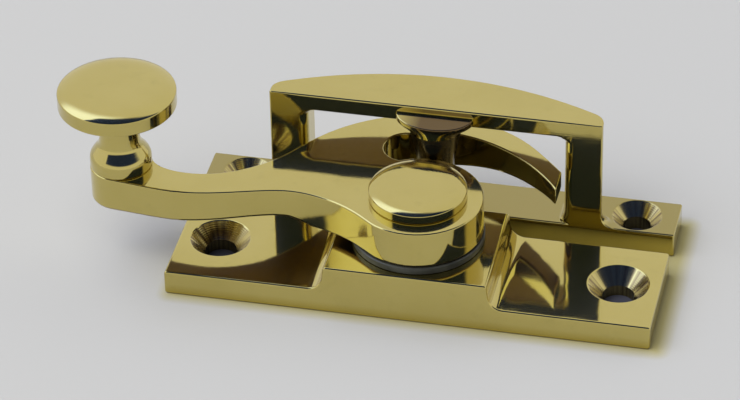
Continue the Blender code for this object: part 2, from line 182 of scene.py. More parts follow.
def turned(name, profile, centre):
    """A turned piece from (radius, height) points, bottom to top; radius 0 closes an end."""
    bm = bmesh.new()
    rings = []
    for radius, height in profile:
        count = TURNED_STEPS if radius > 0 else 1
        ring = []
        for k in range(count):
            angle = 2 * math.pi * k / TURNED_STEPS
            x = centre[0] + radius * math.cos(angle)
            y = centre[1] + radius * math.sin(angle)
            ring.append(bm.verts.new((x, y, height)))
        rings.append(ring)
    pairs = list(zip(rings, rings[1:]))
    if profile[0][0] > 0:
        pairs.append((rings[-1], rings[0]))
    for lower, upper in pairs:
        for k in range(TURNED_STEPS):
            corners = [lower[k % len(lower)], lower[(k + 1) % len(lower)],
                       upper[(k + 1) % len(upper)], upper[k % len(upper)]]
            bm.faces.new(list(dict.fromkeys(corners)))
    bmesh.ops.recalc_face_normals(bm, faces=bm.faces)
    obj = object_from(bm, name)
    obj.data.shade_smooth()
    obj.data.set_sharp_from_angle(angle=SHARP_ANGLE)
    return obj


def smooth_profile(points, rounds=3):
    """Cuts the corners of a (radius, height) curve until it runs smoothly; its ends stay."""
    for _ in range(rounds):
        cut = [points[0]]
        for (r0, z0), (r1, z1) in zip(points, points[1:]):
            cut.append((0.75 * r0 + 0.25 * r1, 0.75 * z0 + 0.25 * z1))
            cut.append((0.25 * r0 + 0.75 * r1, 0.25 * z0 + 0.75 * z1))
        cut.append(points[-1])
        points = cut
    return points


def in_metres(points):
    return [(radius * MM, height * MM) for radius, height in points]


def lofted(name, sections):
    """A closed solid through sections: lists of as many points each, from one end to the other."""
    bm = bmesh.new()
    rings = [[bm.verts.new(point) for point in section] for section in sections]
    count = len(rings[0])
    for first, second in zip(rings, rings[1:]):
        for k in range(count):
            following = (k + 1) % count
            bm.faces.new([first[k], first[following], second[following], second[k]])
    bm.faces.new(rings[0])
    bm.faces.new(rings[-1])
    bmesh.ops.recalc_face_normals(bm, faces=bm.faces)
    return object_from(bm, name)


def rounded_box(name, low, high, radius):
    bm = bmesh.new()
    bmesh.ops.create_cube(bm, size=1.0)
    for vert in bm.verts:
        vert.co = [(a + b) / 2 + share * (b - a) for a, b, share in zip(low, high, vert.co)]
    bmesh.ops.bevel(bm, geom=bm.edges, offset=radius, segments=4, profile=0.5, affect="EDGES")
    return object_from(bm, name)


def with_round_corners(corners):
    """A closed outline from (x, z, radius, steps) corners; each arc gets a point beside its ends."""
    outline = []
    count = len(corners)
    for k, (_, _, radius, steps) in enumerate(corners):
        before, here, after = (Vector(corners[i % count][:2]) for i in (k - 1, k, k + 1))
        to_before = (before - here).normalized()
        to_after = (after - here).normalized()
        half = to_before.angle(to_after) / 2
        reach = radius / math.tan(half)
        centre = here + (to_before + to_after).normalized() * radius / math.sin(half)
        first = here + to_before * reach - centre
        last = here + to_after * reach - centre
        turn = first.angle_signed(last)
        outline.append(here + to_before * (reach + SUPPORT))
        for j in range(steps + 1):
            outline.append(centre + Matrix.Rotation(-turn * j / steps, 2) @ first)
        outline.append(here + to_after * (reach + SUPPORT))
    return outline


def offset_inwards(outline, distance):
    """A closed anticlockwise outline without sharp corners, moved in by a small distance."""
    moved = []
    count = len(outline)
    for k in range(count):
        before, here, after = (Vector(outline[i % count]) for i in (k - 1, k, k + 1))
        first = (here - before).normalized()
        second = (after - here).normalized()
        square = Vector((-first.y, first.x))
        inward = Vector((-(first.y + second.y), first.x + second.x)).normalized()
        moved.append(here + inward * distance / inward.dot(square))
    return moved


def rounded_extrusion(name, outline, front, rear, edge):
    """An outline in X and Z, extruded along Y, with round edges and a narrow loop beside each."""
    steps = [(0, edge + SUPPORT)]
    for turn in quarter_turn(EDGE_STEPS):
        steps.append((edge * (1 - math.cos(turn)), edge * (1 - math.sin(turn))))
    steps.append((edge + SUPPORT, 0))
    levels = [(front + depth, inset) for depth, inset in steps]
    levels += [(rear - depth, inset) for depth, inset in reversed(steps)]
    sections = []
    for y, inset in levels:
        sections.append([(point[0], y, point[1]) for point in offset_inwards(outline, inset)])
    return lofted(name, sections)


def apply_modifiers(obj):
    graph = bpy.context.evaluated_depsgraph_get()
    mesh = bpy.data.meshes.new_from_object(obj.evaluated_get(graph))
    obj.modifiers.clear()
    obj.data = mesh
    return obj


def combine(target, tool, operation):
    """A Boolean of target and tool, made at once; the tool is removed."""
    modifier = target.modifiers.new(operation, "BOOLEAN")
    modifier.operation = operation
    modifier.solver = "EXACT"
    modifier.object = tool
    apply_modifiers(target)
    bpy.data.objects.remove(tool)


def smoothed(obj):
    """Smooth shading that leaves flat faces flat and real edges crisp."""
    bm = bmesh.new()
    bm.from_mesh(obj.data)
    bmesh.ops.remove_doubles(bm, verts=bm.verts, dist=CUT_WELD)
    bm.to_mesh(obj.data)
    bm.free()
    obj.data.shade_smooth()
    obj.data.set_sharp_from_angle(angle=SHARP_ANGLE)
    weighted = obj.modifiers.new("flat faces stay flat", "WEIGHTED_NORMAL")
    weighted.weight = FLAT_WEIGHT
    weighted.keep_sharp = True
    return apply_modifiers(obj)


def refined(node, name, widest, edge_width):
    """A copy of a CAD node with its triangles joined into flat faces and its edges softened."""
    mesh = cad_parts[node].data.copy()
    mesh.name = name
    mesh.materials.clear()
    bm = bmesh.new()
    bm.from_mesh(mesh)
    bmesh.ops.remove_doubles(bm, verts=bm.verts, dist=NODE_WELD)
    bmesh.ops.dissolve_limit(bm, angle_limit=FLAT_ANGLE, verts=bm.verts, edges=bm.edges)
    weight = bm.edges.layers.float.new("bevel_weight_edge")
    for edge in bm.edges:
        if len(edge.link_faces) == 2 and edge.calc_face_angle() > SHARP_ANGLE:
            edge[weight] = edge_width(edge) / widest
    bm.to_mesh(mesh)
    bm.free()
    mesh.shade_smooth()
    obj = new_object(name, mesh)
    bevel = obj.modifiers.new("soft edges", "BEVEL")
    bevel.limit_method = "WEIGHT"
    bevel.width = widest
    bevel.segments = 4
    bevel.use_clamp_overlap = False
    bevel.miter_outer = "MITER_ARC"
    weighted = obj.modifiers.new("flat faces stay flat", "WEIGHTED_NORMAL")
    weighted.weight = FLAT_WEIGHT
    return apply_modifiers(obj)


def countersink(x, y, head, shank):
    """Cutter for a screw hole: a straight shank, a cone and a small chamfer at the plate's top."""
    top = PLATE_THICK
    rim = head + HOLE_CHAMFER
    profile = [(0, -MM), (shank, -MM), (shank, top - (head - shank)),
               (head - HOLE_CHAMFER, top - HOLE_CHAMFER), (head, top - 0.35 * HOLE_CHAMFER),
               (rim, top), (rim, top + MM), (0, top + MM)]
    return turned("guide_hole", profile, (x, y))


def cut_screw_holes(plate, y, head, shank):
    for side in (-1, 1):
        combine(plate, countersink(side * HOLE_SPACING / 2, y, head, shank), "DIFFERENCE")


# ---------------------------------------------------------------- pieces

def fastener_base():
    """Plate with a raised block; the block's foot sweeps out into the plate."""
    half = BASE_HIGH.x
    top = BASE_HIGH.z
    foot = BLOCK_HALF + BLOCK_DRAFT
    right = [(half, BASE_LOW.z, CORNER, EDGE_STEPS), (half, PLATE_THICK, CORNER, EDGE_STEPS),
             (foot, PLATE_THICK, FOOT_RADIUS, FOOT_STEPS), (BLOCK_HALF, top, CORNER, EDGE_STEPS)]
    left = [(-x, z, radius, steps) for x, z, radius, steps in reversed(right)]
    outline = with_round_corners(right + left)
    base = rounded_extrusion("base_casting", outline, BASE_LOW.y, BASE_HIGH.y, EDGE)
    cut_screw_holes(base, BASE_HOLE_Y, BASE_HOLE_HEAD, BASE_HOLE_SHANK)
    socket = [(0, POST_FLOOR), (POST_SOCKET, POST_FLOOR), (POST_SOCKET, top + MM), (0, top + MM)]
    combine(base, turned("guide_socket", socket, (0, 0)), "DIFFERENCE")
    return smoothed(base)


def quadrant_arm():
    """The arm's own shape, with a thin edge at the top and a rounder one underneath."""
    def edge_width(edge):
        low = all(vert.co.z < ARM_HIGH.z - ARM_TOP_ZONE for vert in edge.verts)
        return ARM_LOW_EDGE if low else ARM_TOP_EDGE
    return refined("quadrant_arm", "arm_casting", ARM_WIDEST_EDGE, edge_width)


def bridge_rear(x):
    """How far behind the keeper's front the bridge's curved rear is, with its rounded ends."""
    x = abs(x)
    centre_y = BRIDGE_DEPTH - BRIDGE_ARC
    corner_x = BRIDGE_HALF - BRIDGE_CORNER
    corner_y = centre_y + math.sqrt((BRIDGE_ARC - BRIDGE_CORNER) ** 2 - corner_x ** 2)
    if x < corner_x * BRIDGE_ARC / (BRIDGE_ARC - BRIDGE_CORNER):
        return centre_y + math.sqrt(BRIDGE_ARC ** 2 - x ** 2)
    return corner_y + math.sqrt(max(0.0, BRIDGE_CORNER ** 2 - (x - corner_x) ** 2))


# The arch is swept through stations. A station is its inner point and its outer point, in X and Z,
# how far the foot spreads there, how rounded the inner front edge is and how rounded the outer rear
# edge is. The last three run from 0 to 1.

def leg_stations():
    """The right leg, from its foot in the bar up to the window's corner."""
    def station(z, spread):
        return (WINDOW_HALF, z), (BRIDGE_HALF, z), spread, 1, 0

    stations = [station(PLATE_THICK - FOOT_SINK, 1)]
    for turn in quarter_turn(TURN_STEPS):
        stations.append(station(PLATE_THICK + (1 - math.cos(turn)) * FOOT_OUTER, 1 - math.sin(turn)))
    foot_top = PLATE_THICK + FOOT_OUTER
    corner_z = BRIDGE_UNDER - FOOT_INNER
    for k in range(1, LEG_STEPS):
        stations.append(station(foot_top + (corner_z - foot_top) * k / LEG_STEPS, 0))
    return stations


def corner_path():
    """The outer side of the arch's right corner, up and over the top: x, z and the rear rounding."""
    turns = quarter_turn(TURN_STEPS)
    corner_x = WINDOW_HALF - FOOT_INNER
    start = BRIDGE_UNDER - FOOT_INNER
    side = BRIDGE_HALF - EDGE
    top = BRIDGE_TOP - EDGE
    rises = 6
    past_edge = 4                        # the first turn of the plan's corner beyond the round edge
    run_out = 2 * MM
    path = [(BRIDGE_HALF, start + (top - start) * k / rises, 0) for k in range(rises + 1)]
    for turn in turns[1:]:
        path.append((side + EDGE * math.cos(turn), top + EDGE * math.sin(turn), math.sin(turn)))
    for turn in turns[past_edge:]:
        path.append((BRIDGE_HALF - BRIDGE_CORNER + BRIDGE_CORNER * math.cos(turn), BRIDGE_TOP, 1))
    for x in (corner_x + run_out, corner_x):
        path.append((x, BRIDGE_TOP, 1))
    return path


def corner_stations():
    """The right corner; its inner side turns about the middle of the window's rounding."""
    centre_x, centre_z = WINDOW_HALF - FOOT_INNER, BRIDGE_UNDER - FOOT_INNER
    stations = []
    for x, z, round_rear in corner_path():
        angle = math.atan2(z - centre_z, x - centre_x)
        inner = (centre_x + FOOT_INNER * math.cos(angle), centre_z + FOOT_INNER * math.sin(angle))
        round_front = 1 - min(1.0, angle / math.radians(45))
        stations.append((inner, (x, z), 0, round_front, round_rear))
    return stations


def bridge_stations():
    """The bridge, from the right corner to the middle."""
    stations = []
    for k in range(1, BRIDGE_STEPS + 1):
        x = (WINDOW_HALF - FOOT_INNER) * (1 - k / BRIDGE_STEPS)
        stations.append(((x, BRIDGE_UNDER), (x, BRIDGE_TOP), 0, 0, 1))
    return stations


def slice_outline(length, round_front, round_rear, rear):
    """A slice of the arch from its inner side, at 0, to its outer side; rear gives its depth there."""
    front = EDGE + round_front * (LEG_ROUND - EDGE)
    back = max(LEAST_EDGE, round_rear * EDGE)
    outline = []
    for turn in quarter_turn(LEG_ROUND_STEPS):
        outline.append((front * (1 - math.cos(turn)), front * (1 - math.sin(turn))))
    outline.append((front + SUPPORT, 0))
    outline.append((length - EDGE - SUPPORT, 0))
    for turn in quarter_turn(EDGE_STEPS):
        outline.append((length - EDGE * (1 - math.sin(turn)), EDGE * (1 - math.cos(turn))))
    outline.append((length, EDGE + SUPPORT))
    outline.append((length, rear(length) - back - SUPPORT))
    for turn in quarter_turn(EDGE_STEPS):
        along = length - back * (1 - math.cos(turn))
        outline.append((along, rear(along) - back * (1 - math.sin(turn))))
    for k in range(1, SLICE_STEPS):
        share = k / SLICE_STEPS
        along = EDGE + (length - back - EDGE) * (1 - share ** 2 * (3 - 2 * share))
        outline.append((along, rear(along)))
    for turn in quarter_turn(EDGE_STEPS):
        along = EDGE * (1 - math.sin(turn))
        outline.append((along, rear(along) - EDGE * (1 - math.cos(turn))))
    outline.append((0, rear(0) - EDGE - SUPPORT))
    outline.append((0, front + SUPPORT))
    return outline


def arch_section(station, side):
    """One slice of the arch in its place: on the right for side 1, on the left for side -1."""
    (inner_x, inner_z), (outer_x, outer_z), spread, round_front, round_rear = station
    length = math.dist((inner_x, inner_z), (outer_x, outer_z))

    def rear(along):
        return bridge_rear(inner_x + (outer_x - inner_x) * (along / length))

    section = []
    for along, depth in slice_outline(length, round_front, round_rear, rear):
        share = along / length
        shift = spread * (share * FOOT_OUTER - (1 - share) * FOOT_INNER)
        x = inner_x + (outer_x - inner_x) * share + shift
        z = inner_z + (outer_z - inner_z) * share
        section.append((side * x, KEEPER_FRONT + FLUSH + depth, z))
    return section


def keeper_arch():
    """Leg, bridge and leg as one sweep, so that its polished faces run on without a seam."""
    half = leg_stations() + corner_stations() + bridge_stations()
    sections = [arch_section(station, 1) for station in half]
    sections += [arch_section(station, -1) for station in reversed(half[:-1])]
    return lofted("guide_arch", sections)


def lobe_levels():
    """Height, growth from the peg's head to the lobe (0 to 1), inset and slope, from the foot up."""
    levels = [(LOBE_FOOT, 0, 0, 0),
              (LOBE_FOOT + 0.3 * MM, 0.12, 0, 0),
              (LOBE_FOOT + 0.6 * MM, 0.35, 0, 0),
              (LOBE_FOOT + 0.9 * MM, 0.6, 0, 0),
              (LOBE_FOOT + 1.05 * MM, 0.75, 0, 0),
              (LOBE_RIM - 0.08 * MM, 0.93, 0, 0),
              (LOBE_RIM + 0.08 * MM, 1, 0, 0)]
    for turn in quarter_turn(LOBE_EDGE_STEPS):
        height = LOBE_TOP - LOBE_EDGE * (1 - math.sin(turn))
        levels.append((height, 1, LOBE_EDGE * (1 - math.cos(turn)), LOBE_SLOPE))
    return levels


def keeper_lobe():
    """The sloping oval in front of the bridge that carries the peg."""
    sections = []
    for height, share, inset, slope in lobe_levels():
        half_width = PEG_HEAD + share * (LOBE_HALF - PEG_HEAD) - inset
        half_depth = PEG_HEAD + share * (LOBE_REACH - PEG_HEAD) - inset
        middle_y = PEG_Y + share * (LOBE_Y - PEG_Y)
        section = []
        for k in range(TURNED_STEPS):
            angle = 2 * math.pi * k / TURNED_STEPS
            x, y = math.cos(angle), math.sin(angle)
            rise = slope * half_depth * (y + 1)
            section.append((half_width * x, middle_y + half_depth * y, height + rise))
        sections.append(section)
    return lofted("guide_lobe", sections)


def keeper_frame():
    """Bar, arch and lobe in one casting."""
    low = (-KEEPER_HIGH.x, KEEPER_FRONT, KEEPER_LOW.z)
    high = (KEEPER_HIGH.x, BAR_REAR, PLATE_THICK)
    keeper = rounded_box("keeper_casting", low, high, EDGE)
    combine(keeper, keeper_arch(), "UNION")
    combine(keeper, keeper_lobe(), "UNION")
    cut_screw_holes(keeper, BAR_HOLE_Y, BAR_HOLE_HEAD, BAR_HOLE_SHANK)
    return smoothed(keeper)


def friction_washer():
    low, high = BASE_HIGH.z, ARM_LOW.z
    outer = WASHER_HIGH.x
    inner = outer - WASHER_BAND
    edge = WASHER_EDGE
    profile = [(inner, low), (outer - edge, low), (outer, low + edge), (outer, high - edge),
               (outer - edge, high), (inner, high)]
    return turned("washer_band", profile, middle(WASHER_LOW, WASHER_HIGH))


# The turned brass pieces, drawn in millimetres

def pivot_cap():
    """Cap with a flat crown that bends down near its rim; it sits down on the hub's top."""
    radius = (CAP_HIGH.x - CAP_LOW.x) / 2 / MM
    crown = CAP_HIGH.z / MM
    seat = (ARM_HIGH.z + FLUSH) / MM
    skirt = radius - 1.3
    skirt_foot = CAP_LOW.z / MM
    inside = [(0, skirt_foot), (skirt, skirt_foot), (skirt, seat)]
    edge = [(radius - 0.15, seat), (radius, seat + 0.12), (radius, seat + 0.3), (radius, crown - 0.7),
            (radius, crown - 0.62), (radius - 0.03, crown - 0.55), (radius - 0.1, crown - 0.48)]
    dome = [(6.6, crown - 0.35), (6.1, crown - 0.2), (5.5, crown - 0.12), (4.6, crown - 0.06),
            (3.0, crown - 0.02), (1.5, crown), (0, crown)]
    profile = inside + smooth_profile(edge + dome)
    return turned("cap_turned", in_metres(profile), middle(CAP_LOW, CAP_HIGH))


def knob():
    """Turned knob, from the hole for its screw round to the crown of its disc."""
    seat = (ARM_HIGH.z + FLUSH) / MM
    top = KNOB_HIGH.z / MM
    bore = [(0, 20.2), (1.8, 19.6), (1.8, seat)]
    collar = [(4.3, seat), (4.45, seat + 0.12), (4.45, seat + 0.3), (4.45, 15.9), (4.4, 16.3),
              (4.2, 16.75)]
    neck = [(3.85, 17.23), (3.5, 17.71), (3.16, 18.17), (3.0, 18.65), (2.9, 19.4), (2.83, 20.3),
            (2.85, 21.8), (3.2, 22.7), (4.0, 23.6), (5.6, 24.3), (7.6, 24.7), (8.2, 24.8), (8.4, 24.86)]
    disc = [(8.5, 24.95), (8.5, 25.1), (8.5, 26.7), (8.5, 26.9), (8.47, 27.02), (8.38, 27.12),
            (8.1, 27.26), (7.6, 27.44), (7.0, 27.58), (6.3, 27.67), (5.3, 27.73), (3.5, top - 0.02),
            (1.2, top), (0, top)]
    profile = bore + smooth_profile(collar + neck + disc)
    return turned("knob_turned", in_metres(profile), middle(KNOB_LOW, KNOB_HIGH))


def keeper_peg():
    """Tapered peg that widens up into the lobe."""
    low, high = PEG_LOW.z / MM, PEG_HIGH.z / MM
    seat = 17.92
    taper = [(0, low), (1.6, low), (2.1, low + 0.02), (2.35, low + 0.25), (2.45, low + 0.7),
             (2.75, 12.1), (3.0, 13.9), (3.3, 15.6), (3.6, 16.95), (3.9, seat)]
    spigot = [(1.8, seat), (1.8, high), (0, high)]
    profile = smooth_profile(taper) + spigot
    return turned("peg_turned", in_metres(profile), middle(PEG_LOW, PEG_HIGH))


# ---------------------------------------------------------------- materials

BRASS_BRIGHT = (0.570, 0.474, 0.142)
BRASS_DULL = (0.545, 0.450, 0.128)
# painted shade on the keeper bar's top
BAR_TOP_SHADE = (0.37, 0.30, 0.09)
# painted shade: a brown tone for faces turned down, with rough cast grain
UNDERSIDE_GRAIN_AND_SHADE = (0.27, 0.175, 0.075)
# painted shade on the keeper's lobe
LOBE_SHADE = (0.15, 0.095, 0.03)
HOLE_LIGHT = (0.60, 0.50, 0.17)
HOLE_DARK = (0.24, 0.17, 0.06)
PEG_BRIGHT = (0.19, 0.145, 0.09)
PEG_DULL = (0.13, 0.10, 0.065)
STEEL_BRIGHT = (0.62, 0.62, 0.60)
STEEL_DULL = (0.50, 0.50, 0.47)
BRONZE_BRIGHT = (0.58, 0.40, 0.19)
BRONZE_DULL = (0.46, 0.30, 0.13)
WASHER_LIGHT = (0.055, 0.056, 0.040)
WASHER_DARK = (0.03, 0.03, 0.022)
FLOOR_PALE = (0.469, 0.457, 0.401)
FLOOR_PAINTED_SHADOW = (0.40, 0.355, 0.16)         # painted shadow beside the plates, darker and olive as if lit by light the brass reflects
FLOOR_SHADED = (0.05, 0.05, 0.06)        # the floor under the plates, seen through the screw holes

WORN = 0.86                              # a stain's tone against the dull tone
GRAINY = 0.6                             # the darkest grain against the cast tone
SPECKLED = 0.99                          # the darkest speckle against the floor's tone

CAST_ROUGHNESS = 0.05
TURNED_ROUGHNESS = 0.045
PEG_ROUGHNESS = 0.3
HIDDEN_ROUGHNESS = 0.22

WAVE_DEPTH = 0.02 * MM
SCRATCH_DEPTH = 0.0014 * MM
RING_DEPTH = 0.3 * SCRATCH_DEPTH
RING_PITCH = 0.25 * MM
WAVE_SPACING = 0.314                     # of a wave texture's rings at scale 1
GROOVE_DEPTH = 0.004 * MM
GROOVE_PITCH = 0.22 * MM
WASHER_DEPTH = 0.01 * MM

# the painted shade on the bar's top stays below this height
SHADED_BAR_HEIGHT = PLATE_THICK + 0.5 * MM
LOBE_FADE = 0.2 * MM
HOLE_FADE = 0.05 * MM
# the painted shadow beside the plates: how far it is shifted to the right and how wide it fades
PAINTED_SHADOW_SHIFT = 0.9 * MM
PAINTED_SHADOW_FADE = 2.2 * MM
SHADE_MARGIN = 2 * MM
SHADE_FADE = 0.5 * MM

# The Mix node's colour sockets, which share their names with its number and vector sockets
MIX_FIRST, MIX_SECOND, MIX_RESULT = 6, 7, 2


class Recipe:
    """Adds and links shader nodes, so that a material or the room reads as a list of steps."""

    def __init__(self, tree, coordinates="Object"):
        self.tree = tree
        self.place = self.add("TexCoord").outputs[coordinates]

    def add(self, kind):
        return self.tree.nodes.new("ShaderNode" + kind)

    def feed(self, value, socket):
        """Sets a socket to a number or a colour, or links another node's output to it."""
        if isinstance(value, (int, float)):
            socket.default_value = value
        elif isinstance(value, tuple):
            socket.default_value = (*value, 1)
        else:
            self.tree.links.new(value, socket)

    def mapped(self, location=(0, 0, 0), scale=(1, 1, 1)):
        """The place, stretched and moved."""
        mapping = self.add("Mapping")
        mapping.inputs["Location"].default_value = location
        mapping.inputs["Scale"].default_value = scale
        self.feed(self.place, mapping.inputs["Vector"])
        return mapping.outputs["Vector"]

    def noise(self, scale, detail=4.0, stretch=(1, 1, 1), rough=0.5):
        """Noise of about 1/scale metres across, stretched along the axes."""
        noise = self.add("TexNoise")
        noise.inputs["Scale"].default_value = scale
        noise.inputs["Detail"].default_value = detail
        noise.inputs["Roughness"].default_value = rough
        self.feed(self.mapped(scale=stretch), noise.inputs["Vector"])
        return noise.outputs["Fac"]

    def rings(self, centre, pitch):
        """Turning marks: waves by the distance from an upright axis."""
        wave = self.add("TexWave")
        wave.wave_type = "RINGS"
        wave.rings_direction = "Z"
        wave.inputs["Scale"].default_value = WAVE_SPACING / pitch
        wave.inputs["Distortion"].default_value = 0.6
        wave.inputs["Detail"].default_value = 2.0
        place = self.mapped((-centre[0], -centre[1], 0), (1, 1, 0.6))
        self.feed(place, wave.inputs["Vector"])
        return wave.outputs["Fac"]

    def spread(self, value, low, high, to_low=0.0, to_high=1.0, kind="LINEAR"):
        """The value between low and high becomes a value between to_low and to_high."""
        spread = self.add("MapRange")
        spread.interpolation_type = kind
        spread.inputs["From Min"].default_value = low
        spread.inputs["From Max"].default_value = high
        spread.inputs["To Min"].default_value = to_low
        spread.inputs["To Max"].default_value = to_high
        self.feed(value, spread.inputs["Value"])
        return spread.outputs["Result"]

    def mixed(self, factor, first, second):
        """The first colour where the factor is 0, the second where it is 1."""
        mix = self.add("Mix")
        mix.data_type = "RGBA"
        self.feed(factor, mix.inputs["Factor"])
        self.feed(first, mix.inputs[MIX_FIRST])
        self.feed(second, mix.inputs[MIX_SECOND])
        return mix.outputs[MIX_RESULT]

    def calculate(self, operation, *values):
        """A sum on one or two values."""
        node = self.add("Math")
        node.operation = operation
        for value, socket in zip(values, node.inputs):
            self.feed(value, socket)
        return node.outputs["Value"]

    def both(self, first, second):
        """1 where both masks are 1."""
        return self.calculate("MULTIPLY", first, second)

    def length(self, first, second):
        """The length of a flat vector from its two parts."""
        squares = [self.calculate("POWER", part, 2) for part in (first, second)]
        return self.calculate("SQRT", self.calculate("ADD", *squares))

    def axes(self):
        """The place's X, Y and Z."""
        axes = self.add("SeparateXYZ")
        self.feed(self.place, axes.inputs["Vector"])
        return axes.outputs["X"], axes.outputs["Y"], axes.outputs["Z"]

    def facing(self, low, high):
        """0 to 1 as the surface turns up, from its normal's height low to high."""
        axes = self.add("SeparateXYZ")
        self.feed(self.add("TexCoord").outputs["Normal"], axes.inputs["Vector"])
        return self.spread(axes.outputs["Z"], low, high)

    def towards(self, vector):
        """How far the place, taken as a direction, points along a vector: from -1 to 1."""
        node = self.add("VectorMath")
        node.operation = "DOT_PRODUCT"
        self.feed(self.place, node.inputs[0])
        node.inputs[1].default_value = vector.normalized()
        return node.outputs["Value"]

    def bump(self, height, distance, over=None):
        """The normal with a relief of some depth, over another normal if one is given."""
        bump = self.add("Bump")
        bump.inputs["Strength"].default_value = 1.0
        bump.inputs["Distance"].default_value = distance
        self.feed(height, bump.inputs["Height"])
        if over is not None:
            self.feed(over, bump.inputs["Normal"])
        return bump.outputs["Normal"]


def new_material(name):
    material = bpy.data.materials.new(name)
    material.use_nodes = True
    return material


def darker(colour, share):
    return tuple(share * channel for channel in colour)


class Metal(Recipe):
    """Polished metal: cloudy tone, hand marks in the roughness and fine scratches."""

    def __init__(self, name, bright, dull, roughness):
        self.material = new_material(name)
        super().__init__(self.material.node_tree)
        clouds = self.spread(self.noise(140, detail=5), 0.35, 0.7)
        stains = self.spread(self.noise(420, detail=6, rough=0.65), 0.56, 0.78, 0, 0.5)
        smears = self.noise(230, detail=5, stretch=(0.4, 1, 1))
        scratches = self.noise(9000, detail=2, stretch=(0.03, 1, 1))
        self.tone = self.mixed(stains, self.mixed(clouds, bright, dull), darker(dull, WORN))
        self.rough = self.spread(smears, 0.3, 0.75, roughness * 0.6, roughness * 1.7)
        self.normal = self.bump(self.noise(260, detail=1), WAVE_DEPTH)
        self.normal = self.bump(scratches, SCRATCH_DEPTH, over=self.normal)

    def cover(self, mask, tone, rougher=0.0):
        """Another tone where the mask is 1, and a rougher surface there if an amount is given."""
        self.tone = self.mixed(mask, self.tone, tone)
        if rougher:
            extra = self.calculate("MULTIPLY", mask, rougher)
            self.rough = self.calculate("ADD", self.rough, extra)

    def add_turning_marks(self, centre):
        self.normal = self.bump(self.rings(centre, RING_PITCH), RING_DEPTH, over=self.normal)

    def add_grain_and_shaded_underside(self):
        """Rough, unpolished cast grain where the piece faces down, in a darker brown tone there that is
        painted shade.
        """
        grain = self.mixed(self.noise(1800, detail=5), UNDERSIDE_GRAIN_AND_SHADE, darker(UNDERSIDE_GRAIN_AND_SHADE, GRAINY))
        # painted shade: faces turned down get the darker brown tone
        self.cover(self.facing(-0.15, -0.55), grain, rougher=0.3)

    def add_rough_shaded_bar_top(self):
        """Rougher, with a darker tone that is painted shade, where the keeper's bar faces up."""
        _, _, z = self.axes()
        low = self.spread(z, SHADED_BAR_HEIGHT + MM, SHADED_BAR_HEIGHT)
        self.cover(self.both(low, self.facing(0.6, 0.9)), BAR_TOP_SHADE, rougher=0.08)

    def add_lobe_painted_shade(self):
        """Painted shade: the keeper's lobe is brass at its left end and brown elsewhere."""
        x, y, z = self.axes()
        before = self.spread(y, KEEPER_FRONT - LOBE_FADE, KEEPER_FRONT - 2 * LOBE_FADE)
        above = self.spread(z, LOBE_RIM - 3 * LOBE_FADE, LOBE_RIM)
        across = self.spread(x, -LOBE_HALF, -0.3 * LOBE_HALF)
        self.cover(self.both(before, above), self.mixed(across, BRASS_BRIGHT, LOBE_SHADE))

    def add_screw_holes(self, hole_y, head):
        """The walls of both screw holes: streaks down the cone and the cutter's grooves round it."""
        x, y, z = self.axes()
        away_x = self.calculate("SUBTRACT", self.calculate("ABSOLUTE", x), HOLE_SPACING / 2)
        away_y = self.calculate("SUBTRACT", y, hole_y)
        distance = self.length(away_x, away_y)
        near = self.spread(distance, head + HOLE_FADE, head - HOLE_FADE)
        below = self.spread(z, PLATE_THICK - HOLE_FADE, PLATE_THICK - 3 * HOLE_FADE)
        inside = self.both(near, below)
        around = self.add("CombineXYZ")
        self.feed(self.calculate("DIVIDE", away_x, distance), around.inputs["X"])
        self.feed(self.calculate("DIVIDE", away_y, distance), around.inputs["Y"])
        streaks = self.add("TexNoise")
        streaks.inputs["Scale"].default_value = 6.0
        self.feed(around.outputs["Vector"], streaks.inputs["Vector"])
        streaky = self.spread(streaks.outputs["Fac"], 0.42, 0.6)
        self.cover(inside, self.mixed(streaky, HOLE_LIGHT, HOLE_DARK), rougher=0.12)
        turns = self.calculate("MULTIPLY", distance, 2 * math.pi / GROOVE_PITCH)
        grooves = self.both(self.calculate("SINE", turns), inside)
        self.normal = self.bump(grooves, GROOVE_DEPTH, over=self.normal)

    def finished(self):
        """The material, with all that was added."""
        shader = self.tree.nodes["Principled BSDF"]
        self.feed(self.tone, shader.inputs["Base Color"])
        self.feed(self.rough, shader.inputs["Roughness"])
        self.feed(self.normal, shader.inputs["Normal"])
        shader.inputs["Metallic"].default_value = 1.0
        shader.inputs["Coat Weight"].default_value = 0.5
        shader.inputs["Coat Roughness"].default_value = 0.3
        return self.material


def base_brass():
    brass = Metal("base_brass", BRASS_BRIGHT, BRASS_DULL, CAST_ROUGHNESS)
    brass.add_grain_and_shaded_underside()
    brass.add_screw_holes(BASE_HOLE_Y, BASE_HOLE_HEAD)
    return brass.finished()


def keeper_brass():
    brass = Metal("keeper_brass", BRASS_BRIGHT, BRASS_DULL, CAST_ROUGHNESS)
    brass.add_grain_and_shaded_underside()
    brass.add_rough_shaded_bar_top()
    brass.add_lobe_painted_shade()
    brass.add_screw_holes(BAR_HOLE_Y, BAR_HOLE_HEAD)
    return brass.finished()


def arm_brass():
    brass = Metal("arm_brass", BRASS_BRIGHT, BRASS_DULL, CAST_ROUGHNESS)
    brass.add_grain_and_shaded_underside()
    return brass.finished()


def turned_metal(name, bright, dull, roughness, centre):
    metal = Metal(name, bright, dull, roughness)
    metal.add_turning_marks(centre)
    return metal.finished()


def cap_brass():
    centre = middle(CAP_LOW, CAP_HIGH)
    return turned_metal("cap_brass", BRASS_BRIGHT, BRASS_DULL, TURNED_ROUGHNESS, centre)


def knob_brass():
    centre = middle(KNOB_LOW, KNOB_HIGH)
    return turned_metal("knob_brass", BRASS_BRIGHT, BRASS_DULL, TURNED_ROUGHNESS, centre)


